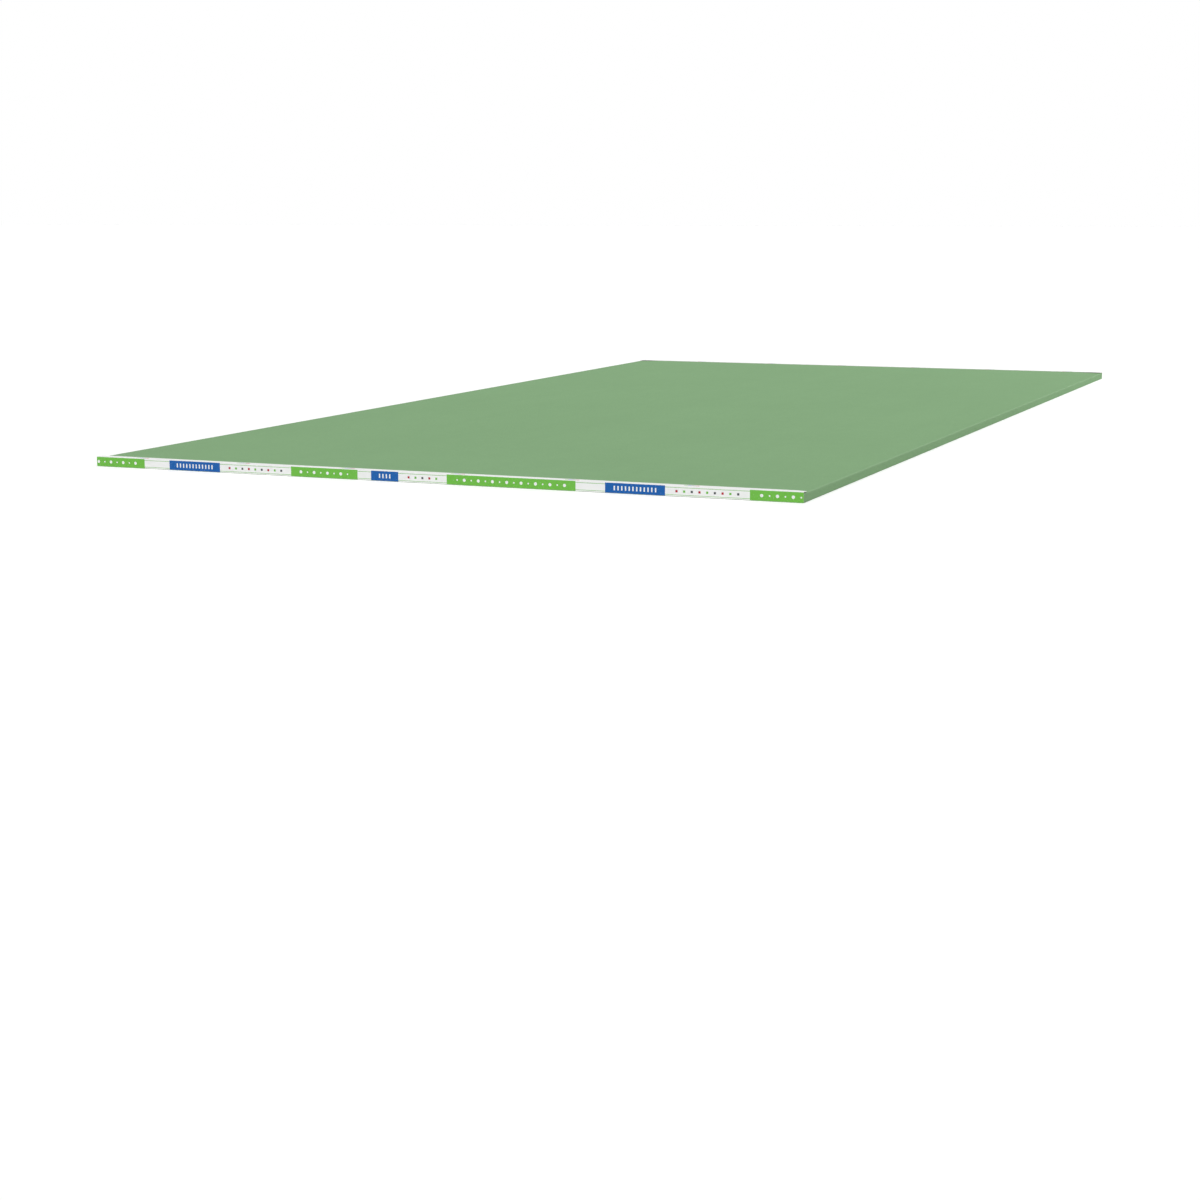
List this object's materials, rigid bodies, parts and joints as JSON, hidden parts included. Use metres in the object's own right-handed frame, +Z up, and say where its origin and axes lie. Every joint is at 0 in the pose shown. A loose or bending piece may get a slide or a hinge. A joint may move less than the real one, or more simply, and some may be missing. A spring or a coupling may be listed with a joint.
{
  "type": "drywall sheet",
  "caption": "Moisture-resistant gypsum drywall sheet with tapered long edges, lying face up, with printed paper tape folded over its ends.",
  "frame": {"origin": "middle of the sheet's underside, on the floor it lies on", "axes": "+X across the width to the right, +Y along the length to the rear end, +Z up through the thickness to the face"},
  "size_m": [1.2192, 2.4388, 0.0161],
  "materials": {
    "sheet": "matte green face paper over a gypsum core, with grey-brown back paper",
    "end_tape": "smooth white paper tape printed in green and blue"
  },
  "bodies": {
    "root": {"drywall_sheet": "sheet", "front_end_tape": "end_tape", "rear_end_tape": "end_tape"}
  },
  "joints": []
}
